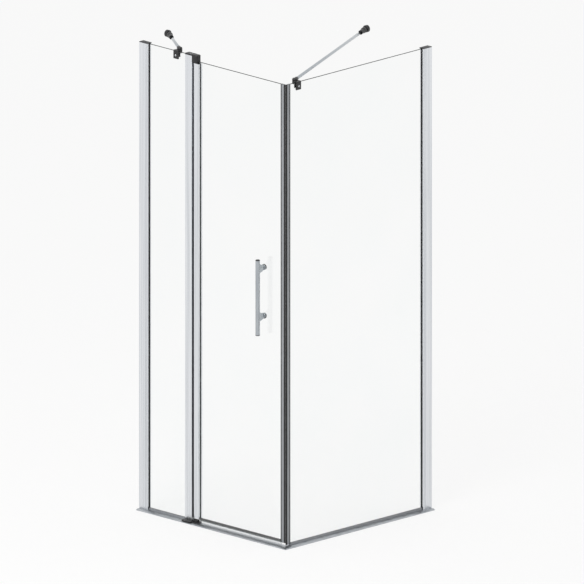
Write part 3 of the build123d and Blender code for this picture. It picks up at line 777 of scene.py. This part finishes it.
def corner_seal(name, node, along_run, inward):
    """Nose, grey channel and two lips, as outlines of (distance from the corner, depth)."""
    low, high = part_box(node)
    outer = -SEAL_WALL
    inner = glass_thick + SEAL_WALL
    grey_end = SEAL_WIDTH - LIP
    slot = SEAL_WIDTH - SEAL_GRIP
    nose_end = NOSE - SEAL_SEAM
    lip_start = grey_end + SEAL_SEAM
    nose = [
        (outer + SLOPE_GAP, outer),
        (nose_end, outer),
        (nose_end, inner),
        (inner + SLOPE_GAP, inner),
    ]
    channel = [
        (NOSE, outer),
        (grey_end, outer),
        (grey_end, 0),
        (slot, 0),
        (slot, glass_thick),
        (grey_end, glass_thick),
        (grey_end, inner),
        (NOSE, inner),
    ]
    lips = [
        [(lip_start, outer), (SEAL_WIDTH, outer), (SEAL_WIDTH, 0), (lip_start, 0)],
        [(lip_start, glass_thick), (SEAL_WIDTH, glass_thick), (SEAL_WIDTH, inner), (lip_start, inner)],
    ]
    start = Vector((corner.x, corner.y, low.z))
    travel = (0, 0, high.z - low.z)
    shells = []
    for corners, number in [(nose, 1), (channel, 0), (lips[0], 1), (lips[1], 1)]:
        outline = soft_outline(corners, SEAL_SOFT, 3)
        shell = carried(outline, start, along_run, inward, travel, (SEAL_END, SEAL_END))
        shells.append(closed(shell, len(outline), number))
    return make_piece(name, shells, node, [translucent_seal, black_soft_pvc])


corner_seal("door_corner_seal", "door_magnetic_seal", (-1, 0, 0), (0, 1, 0))
corner_seal("side_corner_seal", "side_magnetic_seal", (0, 1, 0), (-1, 0, 0))

# %% [markdown]
# Under the door a clear strip grips the glass and sweeps the sill with a thin curved fin.
# The fin's middle line is a curve, and its thickness tapers towards the tip.

# %% Drip seal
DRIP_WALL = 1.2 * MM
DRIP_SOFT = 0.3 * MM
FIN_ROOT = 0.6 * MM
FIN_TIP = 0.3 * MM
FIN_STEPS = 12


def drip_seal():
    """A channel round the glass edge, and a fin whose middle line is
    (1 - t)^2 A + 2 t (1 - t) B + t^2 C, half as thick at the tip as at the root."""
    low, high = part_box("door_drip_seal")
    glass_end = door_low.z
    base = glass_end - DRIP_WALL
    outer, inner = -DRIP_WALL, glass_thick + DRIP_WALL
    channel = [
        (outer, base),
        (inner, base),
        (inner, high.z),
        (glass_thick, high.z),
        (glass_thick, glass_end),
        (0, glass_end),
        (0, high.z),
        (outer, high.z),
    ]
    t = np.linspace(0, 1, FIN_STEPS)[:, None]
    root = np.array([inner - FIN_ROOT, base + FIN_ROOT])
    bend = np.array([inner - FIN_ROOT, (base + low.z) / 2])
    tip = np.array([glass_thick / 2, low.z + FIN_TIP])
    middle = (1 - t) ** 2 * root + 2 * t * (1 - t) * bend + t**2 * tip
    ahead = np.gradient(middle, axis=0)
    ahead /= np.linalg.norm(ahead, axis=1, keepdims=True)
    side = np.stack([-ahead[:, 1], ahead[:, 0]], axis=1) * (FIN_ROOT + (FIN_TIP - FIN_ROOT) * t)
    fin = np.concatenate([middle + side, (middle - side)[::-1]])
    start = (low.x, corner.y, 0)
    travel = (high.x - low.x, 0, 0)
    shells = []
    for outline in (soft_outline(channel, DRIP_SOFT, 3), fin):
        shell = carried(outline, start, Y_AXIS, Z_AXIS, travel, (0, 0))
        shells.append(closed(shell, len(outline)))
    return make_piece("drip_strip", shells, "door_drip_seal")


drip_seal()

# %% [markdown]
# The hinge block is a casting with one corner round about the pivot, so that the door's
# glass clears it, and a well rounded top. The cap over the post is cast with it, with two
# seats for the screws that go down into the post.

# %% Top hinge block
BLOCK_ROUND = 12.5 * MM
BLOCK_TOP = 4.0 * MM
BLOCK_CORNER = 6.0 * MM
BLOCK_GAP = 1.0 * MM
CAP_CORNER = 1.6 * MM
CAP_TOP = 0.8 * MM
CASTING_FOOT = 0.4 * MM
HEAD_SEAT_RADIUS = 4.0 * MM


def rectangle(low_x, low_y, high_x, high_y):
    """The four corners of a rectangle, going round to the left."""
    return [(low_x, low_y), (high_x, low_y), (high_x, high_y), (low_x, high_y)]


def hinge_block():
    """Cap and block as two outlines carried upwards. The cap ends inside the block's round
    top edge, and the two screw seats go through it."""
    low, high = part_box("top_hinge_bracket")
    post_low, post_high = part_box("hinge_post")
    screws_low, screws_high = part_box("top_bracket_screws")
    block_left = post_high.x + BLOCK_GAP
    radii = [BLOCK_CORNER, BLOCK_ROUND, BLOCK_CORNER, BLOCK_CORNER]
    block = soft_outline(rectangle(block_left, low.y, high.x, high.y), radii, 9)
    cap_corners = rectangle(post_low.x, post_low.y, block_left + BLOCK_TOP, post_high.y)
    cap = soft_outline(cap_corners, CAP_CORNER)
    head = (screws_high.x - screws_low.x) / 2
    screw_x = (screws_low.x + screws_high.x) / 2
    seats = [(screw_x, screws_low.y + head), (screw_x, screws_high.y - head)]
    up = (0, 0, high.z - low.z)
    block_path = ((0, 0, low.z), X_AXIS, Y_AXIS, up, (CASTING_FOOT, BLOCK_TOP))
    up = (0, 0, high.z - post_high.z)
    cap_path = ((0, 0, post_high.z), X_AXIS, Y_AXIS, up, (CASTING_FOOT, CAP_TOP))
    shells = [closed(carried(block, *block_path, steps=7), len(block))]
    shells.append(carried(cap, *cap_path))
    shells += [carried(circle(seat, HEAD_SEAT_RADIUS), *cap_path, hole=True) for seat in seats]
    return make_piece("hinge_block", shells, "top_hinge_bracket", fill_along=Z_AXIS)


hinge_block()

# %% [markdown]
# The stabiliser bars stop the glass from leaning. Each is a thin tube between a knuckle on
# the pane's clamp and a ball fitting on the wall. A cylinder from the menu would do for the
# tube, but the fittings are turned on a lathe, so all of them are profiles turned round the
# bar's own line, which runs from the knuckle's screw to the ball.

# %% Lines of the two bars
BALL_FROM_WALL = 12 * MM


def bar_line(label, to_room):
    """Knuckle centre, ball centre and the direction between them for one bar."""
    screw_low, screw_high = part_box(f"{label}_bar_knuckle_screw")
    cup_low, cup_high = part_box(f"{label}_bar_wall_flange")
    tube_low, tube_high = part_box(f"{label}_bar_tube")
    height = (tube_low.z + tube_high.z) / 2
    knuckle = (screw_low + screw_high) / 2
    knuckle.z = height
    middle = (cup_low + cup_high) / 2
    inward = Vector(to_room)
    wall = cup_low if sum(to_room) > 0 else cup_high
    ball = middle + inward * (wall.dot(inward) - middle.dot(inward) + BALL_FROM_WALL)
    ball.z = height
    return knuckle, ball, (ball - knuckle).normalized()


BARS = {"short": bar_line("short", (1, 0, 0)), "long": bar_line("long", (0, -1, 0))}
for label, (knuckle, ball, aim) in BARS.items():
    print(label, "bar", round((ball - knuckle).length, 3), "m between its centres")

# %% [markdown]
# On each bar the tube has a wall of 1 mm and slightly broken ends. The cup is screwed to the
# wall and holds a ball, whose neck carries a sleeve over the end of the tube.

# %% Tubes, cups and sockets
TUBE_RADIUS = 6.25 * MM
TUBE_WALL = 1.0 * MM
TUBE_EDGE = 0.3 * MM
CUP_RADIUS = 15 * MM
CUP_HEIGHT = 14 * MM
CUP_HOLE = 2.75 * MM
CUP_FOOT = 0.4 * MM
CUP_RIM = 2.5 * MM
BALL_RADIUS = 11 * MM
BALL_PLAY = 0.1 * MM
NECK_RADIUS = 6 * MM
NECK_REACH = 16 * MM
SLEEVE_RADIUS = 9.5 * MM
SLEEVE_REACH = 60 * MM
SLEEVE_BORE = 6.35 * MM
SLEEVE_BEND = 3.0 * MM
SLEEVE_RIM = 1.2 * MM
BORE_EDGE = 0.3 * MM
COLLAR_RADIUS = 12.5 * MM
COLLAR_SOFT = 4.0 * MM
COLLAR_REACH = 26 * MM
COLLAR_END = 36 * MM
SEAT_DEPTH = 10 * MM
BARREL_REACH = 22 * MM


def bar_tube(label):
    """A ring-shaped profile turned round the bar's line: outer wall, end, inner wall, end."""
    knuckle, ball, aim = BARS[label]
    length = (ball - knuckle).length
    start = BARREL_REACH - SEAT_DEPTH
    end = length - SLEEVE_REACH + SEAT_DEPTH
    inner = TUBE_RADIUS - TUBE_WALL
    corners = [(inner, start), (TUBE_RADIUS, start), (TUBE_RADIUS, end), (inner, end)]
    shell = turned(soft_outline(corners, TUBE_EDGE, 3), knuckle, aim)
    return make_piece(f"{label}_tube", [shell], f"{label}_bar_tube")


def wall_socket(label):
    """Ball, neck, collar and sleeve as one profile: the ball is r = R sin a, h = -R cos a."""
    knuckle, ball, aim = BARS[label]
    last = math.pi - math.asin(NECK_RADIUS / BALL_RADIUS)
    angle = np.linspace(0, last, 16)
    round_part = np.stack([np.sin(angle), -np.cos(angle)], axis=1) * BALL_RADIUS
    sleeve = [
        (0, NECK_REACH),
        (NECK_RADIUS, NECK_REACH),
        (COLLAR_RADIUS, NECK_REACH),
        (COLLAR_RADIUS, COLLAR_REACH),
        (SLEEVE_RADIUS, COLLAR_END),
        (SLEEVE_RADIUS, SLEEVE_REACH),
        (SLEEVE_BORE, SLEEVE_REACH),
        (SLEEVE_BORE, SLEEVE_REACH - SEAT_DEPTH),
        (0, SLEEVE_REACH - SEAT_DEPTH),
    ]
    radii = [0, 0, COLLAR_SOFT, COLLAR_SOFT, SLEEVE_BEND, SLEEVE_RIM, BORE_EDGE, 0, 0]
    profile = np.concatenate([round_part, soft_outline(sleeve, radii, 6)[6:]])
    shell = turned(profile, ball, -aim)
    return make_piece(f"{label}_socket", [shell], f"{label}_bar_wall_socket")


def wall_cup(label, to_room):
    """Cup with a rounded rim, a round seat for the ball and a hole for the wall's screw, turned
    round the wall's normal."""
    knuckle, ball, aim = BARS[label]
    inward = Vector(to_room)
    seat = BALL_RADIUS + BALL_PLAY
    rim = math.sqrt(seat**2 - (CUP_HEIGHT - BALL_FROM_WALL) ** 2)
    first = math.atan2(rim, CUP_HEIGHT - BALL_FROM_WALL)
    angle = np.linspace(first, math.pi - math.asin(CUP_HOLE / seat), 14)
    hollow = np.stack([np.sin(angle) * seat, np.cos(angle) * seat + BALL_FROM_WALL], axis=1)
    wall = [(CUP_HOLE, 0), (CUP_RADIUS, 0), (CUP_RADIUS, CUP_HEIGHT), (rim, CUP_HEIGHT)]
    outside = soft_outline(wall, [0, CUP_FOOT, CUP_RIM, 0], 6)
    profile = np.concatenate([outside, hollow])
    shell = turned(profile, ball - inward * BALL_FROM_WALL, inward)
    return make_piece(f"{label}_cup", [shell], f"{label}_bar_wall_flange")


for label, to_room in (("short", (1, 0, 0)), ("long", (0, -1, 0))):
    bar_tube(label)
    wall_socket(label)
    wall_cup(label, to_room)

# %% [markdown]
# The knuckle is a cast head with a barrel that takes the tube's end. A boolean could join
# them, but two turned shells that cross inside look the same and stay clean.

# %% Knuckles
KNUCKLE_RADIUS = 11 * MM
KNUCKLE_FOOT = 0.5 * MM
KNUCKLE_DOME = 6.0 * MM
BARREL_RADIUS = 8.5 * MM
BARREL_FOOT = 0.5 * MM
BARREL_RIM = 1.0 * MM


def knuckle_head(label):
    """An upright head with a domed top and a barrel along the bar, both turned."""
    knuckle, ball, aim = BARS[label]
    low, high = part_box(f"{label}_bar_knuckle")
    foot = Vector((knuckle.x, knuckle.y, low.z))
    height = high.z - low.z
    head = soft_outline(
        [(0, 0), (KNUCKLE_RADIUS, 0), (KNUCKLE_RADIUS, height), (0, height)],
        [0, KNUCKLE_FOOT, KNUCKLE_DOME, 0],
        9,
    )
    seat = BARREL_REACH - SEAT_DEPTH
    barrel = soft_outline(
        [
            (0, 0),
            (BARREL_RADIUS, 0),
            (BARREL_RADIUS, BARREL_REACH),
            (SLEEVE_BORE, BARREL_REACH),
            (SLEEVE_BORE, seat),
            (0, seat),
        ],
        [0, BARREL_FOOT, BARREL_RIM, BORE_EDGE, 0, 0],
        4,
    )
    shells = [turned(head, foot, Z_AXIS), turned(barrel, knuckle, aim)]
    return make_piece(f"{label}_knuckle_head", shells, f"{label}_bar_knuckle")


for label in BARS:
    knuckle_head(label)

# %% [markdown]
# The handle is an upright tube on two half-moon brackets, with a dark cap at each end.

# %% Handle bar and caps
HANDLE_WALL = 1.5 * MM
CAP_THICK = 3.0 * MM
CAP_PLUG = 8.0 * MM
CAP_PLAY = 0.05 * MM
CAP_RIM = 0.2 * MM
CAP_DOME = 1.8 * MM
PLUG_EDGE = 0.5 * MM
handle_low, handle_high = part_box("handle_bar")
handle_axis = (handle_low + handle_high) / 2
HANDLE_RADIUS = (handle_high.x - handle_low.x) / 2


def handle_tube():
    """A ring-shaped profile turned round the handle's upright line."""
    base = Vector((handle_axis.x, handle_axis.y, handle_low.z))
    height = handle_high.z - handle_low.z
    inner = HANDLE_RADIUS - HANDLE_WALL
    corners = [(inner, 0), (HANDLE_RADIUS, 0), (HANDLE_RADIUS, height), (inner, height)]
    profile = soft_outline(corners, TUBE_EDGE, 3)
    return make_piece("handle_tube", [turned(profile, base, Z_AXIS)], "handle_bar")


def handle_cap(end, way):
    """A domed cap with a plug inside the tube, turned round the handle's line."""
    inner = HANDLE_RADIUS - HANDLE_WALL - CAP_PLAY
    corners = [
        (0, -CAP_PLUG),
        (inner, -CAP_PLUG),
        (inner, 0),
        (HANDLE_RADIUS, 0),
        (HANDLE_RADIUS, CAP_THICK),
        (0, CAP_THICK),
    ]
    profile = soft_outline(corners, [0, PLUG_EDGE, 0, CAP_RIM, CAP_DOME, 0], 7)
    return turned(profile, Vector((handle_axis.x, handle_axis.y, end)), (0, 0, way))


handle_tube()
make_piece(
    "handle_caps",
    [handle_cap(handle_low.z, -1), handle_cap(handle_high.z, 1)],
    "handle_end_caps",
)

# %% [markdown]
# Each bracket is a half-moon between the bar and a round rosette against the glass.
# On the inside a round knob holds it, with a stud through the pane.

# %% Handle brackets and knobs
MOON_THICK = 13 * MM
MOON_EDGE = 1.5 * MM
ROSETTE_RADIUS = 12 * MM
ROSETTE_THICK = 3 * MM
STEM_RADIUS = 6.2 * MM
KNOB_RADIUS = 11 * MM
STUD_RADIUS = 3 * MM
STUD_LENGTH = 21 * MM
SMALL_EDGE = 0.3 * MM
ROUND_EDGE = 1.5 * MM


def half_moon(height):
    """Half an oval: from the bar's line, depth D cos a and height R sin a, for a from -90 to 90."""
    angle = np.linspace(-math.pi / 2, math.pi / 2, 33)
    depth = moon_high.y - handle_axis.y - ROSETTE_THICK / 2
    outline = np.stack([depth * np.cos(angle), MOON_RADIUS * np.sin(angle)], axis=1)
    start = (handle_x - MOON_THICK / 2, handle_axis.y, height)
    shell = carried(outline, start, Y_AXIS, Z_AXIS, (MOON_THICK, 0, 0), (MOON_EDGE, MOON_EDGE))
    return closed(shell, len(outline))


def rosette(height):
    """Rosette and stem as one profile turned round the line through the pane."""
    reach = moon_high.y - handle_axis.y
    corners = [
        (0, 0),
        (ROSETTE_RADIUS, 0),
        (ROSETTE_RADIUS, ROSETTE_THICK),
        (STEM_RADIUS, ROSETTE_THICK),
        (STEM_RADIUS, reach),
        (0, reach),
    ]
    profile = soft_outline(corners, [0, SMALL_EDGE, ROUND_EDGE, ROUND_EDGE, 0, 0], 5)
    return turned(profile, Vector((handle_x, moon_high.y, height)), (0, -1, 0))


def knob(height, face):
    """Knob and stud as one profile, the stud running out through the pane."""
    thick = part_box("handle_screws")[1].y - face
    corners = [
        (0, -STUD_LENGTH),
        (STUD_RADIUS, -STUD_LENGTH),
        (STUD_RADIUS, 0),
        (KNOB_RADIUS, 0),
        (KNOB_RADIUS, thick),
        (0, thick),
    ]
    profile = soft_outline(corners, [0, SMALL_EDGE, 0, SMALL_EDGE, ROUND_EDGE, 0], 5)
    return turned(profile, Vector((handle_x, face, height)), (0, 1, 0))


brackets = [part for height in FIXINGS for part in (half_moon(height), rosette(height))]
make_piece("handle_half_moons", brackets, "handle_brackets")
inside_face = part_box("handle_washers")[1].y
knobs = [knob(height, inside_face) for height in FIXINGS]
make_piece("handle_knobs", knobs, "handle_screws")

# %% [markdown]
# Small screws hold the profiles and the clamps. A head is a dome with a driver's recess.
# On a polar grid both are one formula: the dome, less a step where the point is in the recess.

# %% Screw heads
HEAD_RINGS = 14
HEAD_SPOKES = 48
RECESS_SHARE = 0.55
CROSS_WIDTH = 0.16


def screw_head(base, axis, radius, height, shank_radius, shank, cross):
    """Height at radius r is H (1 - 0.5 (r / R)^4), less the recess where the smaller of |x| and
    |y| is under the cross's half width, or where r is under the socket's radius."""
    axis = Vector(axis).normalized()
    side = axis.orthogonal().normalized()
    other = axis.cross(side)
    share = np.linspace(0, 1, HEAD_RINGS)[:, None]
    angle = np.arange(HEAD_SPOKES)[None, :] * (2 * math.pi / HEAD_SPOKES)
    x, y = share * np.cos(angle), share * np.sin(angle)
    slot = np.minimum(np.abs(x), np.abs(y)) < CROSS_WIDTH
    inside = (share < RECESS_SHARE) & (slot if cross else (x == x))
    dome = height * (1 - 0.5 * share**4) - np.where(inside, height * RECESS_SHARE, 0)
    shank_rings = np.array([[radius, 0], [shank_radius, 0], [shank_radius, -shank], [0, -shank]])
    wide = (len(shank_rings), HEAD_SPOKES)
    radii = np.concatenate([share * radius + 0 * angle, np.broadcast_to(shank_rings[:, :1], wide)])
    heights = np.concatenate([dome, np.broadcast_to(shank_rings[:, 1:], wide)])
    ring = np.cos(angle[0])[:, None] * np.array(side) + np.sin(angle[0])[:, None] * np.array(other)
    points = np.array(base) + heights[:, :, None] * np.array(axis) + radii[:, :, None] * ring[None]
    rows = HEAD_RINGS + len(shank_rings)
    return points.reshape(-1, 3), grid_faces(rows, HEAD_SPOKES, False, True)


def screws(name, node, axis, spread, count, sizes, cross):
    """Equal screws of one node, in a row along spread, with their heads' tops on the side of
    the node's box that axis points to. Sizes are head radius and height, shank radius and
    length, in mm."""
    low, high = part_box(node)
    way, row = Vector(axis), Vector(spread)
    radius, head, shank_radius, shank = [size * MM for size in sizes]
    middle = (low + high) / 2
    face = max(low.dot(way), high.dot(way)) - head
    half = max((high - low).dot(row) / 2 - radius, 0)
    steps = np.linspace(-half, half, count) if count > 1 else [0.0]
    base = middle + way * (face - middle.dot(way))
    places = [base + row * step for step in steps]
    shells = [screw_head(place, axis, radius, head, shank_radius, shank, cross) for place in places]
    return make_piece(name, shells, node)


PROFILE_SCREW = (4.0, 2.2, 1.9, 5.0)
CLAMP_SCREW = (4.2, 2.0, 3.0, 5.0)
BRACKET_SCREW = (3.8, 2.5, 2.0, 19.0)
screws("left_pan_heads", "profile_screws_left", (0, 1, 0), Z_AXIS, 3, PROFILE_SCREW, True)
screws("right_pan_heads", "profile_screws_right", (-1, 0, 0), Z_AXIS, 3, PROFILE_SCREW, True)
screws("short_set_screw", "short_bar_clamp_screw", (0, -1, 0), Z_AXIS, 1, CLAMP_SCREW, False)
screws("long_set_screw", "long_bar_clamp_screw", (1, 0, 0), Z_AXIS, 1, CLAMP_SCREW, False)
screws("post_top_screws", "top_bracket_screws", (0, 0, 1), Y_AXIS, 2, BRACKET_SCREW, False)
screws("post_foot_screws", "bottom_bracket_screws", (0, 0, -1), Y_AXIS, 2, BRACKET_SCREW, False)

# %% [markdown]
# The floor is a plain pale sheet, and the light is an even studio light from all round with
# one large soft lamp, so that colours come out about as they are written.
# Seen straight, or through glass, or mirrored in metal, the floor and the world are white.
# Part of the floor's shade stays, so that the enclosure keeps its shadow.

# %% Floor, world and lamp
FLOOR_SIZE = 14.0
FLOOR_OWN_LIGHT = 0.8
WORLD_LIGHT = 0.78
LAMP_POWER = 110
LAMP_SIZE = 3.0
LAMP_PLACE = (1.2, -4.2, 4.4)


def seen_rays(tree):
    """1 for rays from the camera, through glass or off metal, and 0 for all others."""
    path = add_node(tree, "ShaderNodeLightPath")
    first = add_node(
        tree,
        "ShaderNodeMath",
        settings={"operation": "MAXIMUM"},
        links={0: path.outputs["Is Camera Ray"], 1: path.outputs["Is Glossy Ray"]},
    )
    return add_node(
        tree,
        "ShaderNodeMath",
        settings={"operation": "MAXIMUM"},
        links={0: first.outputs["Value"], 1: path.outputs["Is Transmission Ray"]},
    ).outputs["Value"]


def make_floor():
    """One square of pale floor under the enclosure."""
    half = FLOOR_SIZE / 2
    mesh = bpy.data.meshes.new("floor")
    corners = [(-half, -half, 0), (half, -half, 0), (half, half, 0), (-half, half, 0)]
    mesh.from_pydata(corners, [], [(0, 1, 2, 3)])
    floor = bpy.data.objects.new("floor", mesh)
    bpy.context.scene.collection.objects.link(floor)
    material = bpy.data.materials.new("matt_white_studio_floor")
    material.use_nodes = True
    tree = material.node_tree
    tree.nodes.clear()
    matt = add_node(tree, "ShaderNodeBsdfDiffuse", values={"Color": linear("#F2F2F1")})
    white = add_node(tree, "ShaderNodeEmission", values={"Color": (1, 1, 1, 1), "Strength": 1.0})
    part = add_node(
        tree,
        "ShaderNodeMath",
        settings={"operation": "MULTIPLY"},
        values={1: FLOOR_OWN_LIGHT},
        links={0: seen_rays(tree)},
    )
    mixed = add_node(
        tree,
        "ShaderNodeMixShader",
        links={"Fac": part.outputs["Value"], 1: matt.outputs["BSDF"], 2: white.outputs["Emission"]},
    )
    add_node(tree, "ShaderNodeOutputMaterial", links={"Surface": mixed.outputs["Shader"]})
    mesh.materials.append(material)


def make_world():
    """Even white surroundings: full white where they are seen, a little less as light."""
    world = bpy.data.worlds.new("studio")
    world.use_nodes = True
    tree = world.node_tree
    tree.nodes.clear()
    white = (1, 1, 1, 1)
    light = add_node(tree, "ShaderNodeBackground", values={"Color": white, "Strength": WORLD_LIGHT})
    seen = add_node(tree, "ShaderNodeBackground", values={"Color": white, "Strength": 1.0})
    mixed = add_node(
        tree,
        "ShaderNodeMixShader",
        links={"Fac": seen_rays(tree), 1: light.outputs["Background"], 2: seen.outputs["Background"]},
    )
    add_node(tree, "ShaderNodeOutputWorld", links={"Surface": mixed.outputs["Shader"]})
    bpy.context.scene.world = world


def make_lamp():
    """One large square lamp, high on the left of the camera, turned to the enclosure."""
    light = bpy.data.lights.new("soft_lamp", "AREA")
    light.shape = "SQUARE"
    light.size = LAMP_SIZE
    light.energy = LAMP_POWER
    lamp = bpy.data.objects.new("soft_lamp", light)
    lamp.location = LAMP_PLACE
    aim = Vector((0, 0, 1)) - Vector(LAMP_PLACE)
    lamp.rotation_mode = "QUATERNION"
    lamp.rotation_quaternion = aim.to_track_quat("-Z", "Y")
    bpy.context.scene.collection.objects.link(lamp)


make_floor()
make_world()
make_lamp()
bpy.context.scene.view_settings.view_transform = "Standard"
print("floor", FLOOR_SIZE, "m square, lamp", LAMP_POWER, "W")
